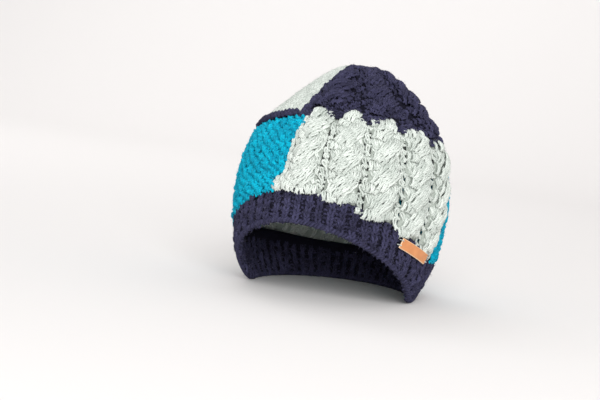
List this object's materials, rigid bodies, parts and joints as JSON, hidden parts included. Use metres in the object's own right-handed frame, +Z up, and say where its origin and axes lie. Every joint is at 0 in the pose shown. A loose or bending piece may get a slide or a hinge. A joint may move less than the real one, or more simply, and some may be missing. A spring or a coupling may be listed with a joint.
{
  "type": "wool hat",
  "caption": "Patchwork knitted beanie with a ribbed band arched up in front, cabled and moss-stitch blocks, a rounded cabled crown and a small leather tag.",
  "frame": {"origin": "on the floor that the rim rests on, under the middle of the hat's outer box", "axes": "+Z up towards the crown, -Y towards the hat's front, where the rim is arched, +X towards the side with the tag"},
  "size_m": [0.1866, 0.2146, 0.2005],
  "materials": {
    "navy_wool": "thick fuzzy wool",
    "pale_wool": "thick fuzzy wool",
    "teal_wool": "thick fuzzy wool",
    "leather": "smooth, with pale cut edges"
  },
  "bodies": {
    "root": {"band": "navy_wool", "block_front": "pale_wool", "block_right": "teal_wool", "block_back": "pale_wool", "block_left": "teal_wool", "crown_navy": "navy_wool", "crown_welt": "navy_wool", "crown_pale": "pale_wool", "crown_gather": "navy_wool", "leather_tag": "leather"}
  },
  "joints": []
}
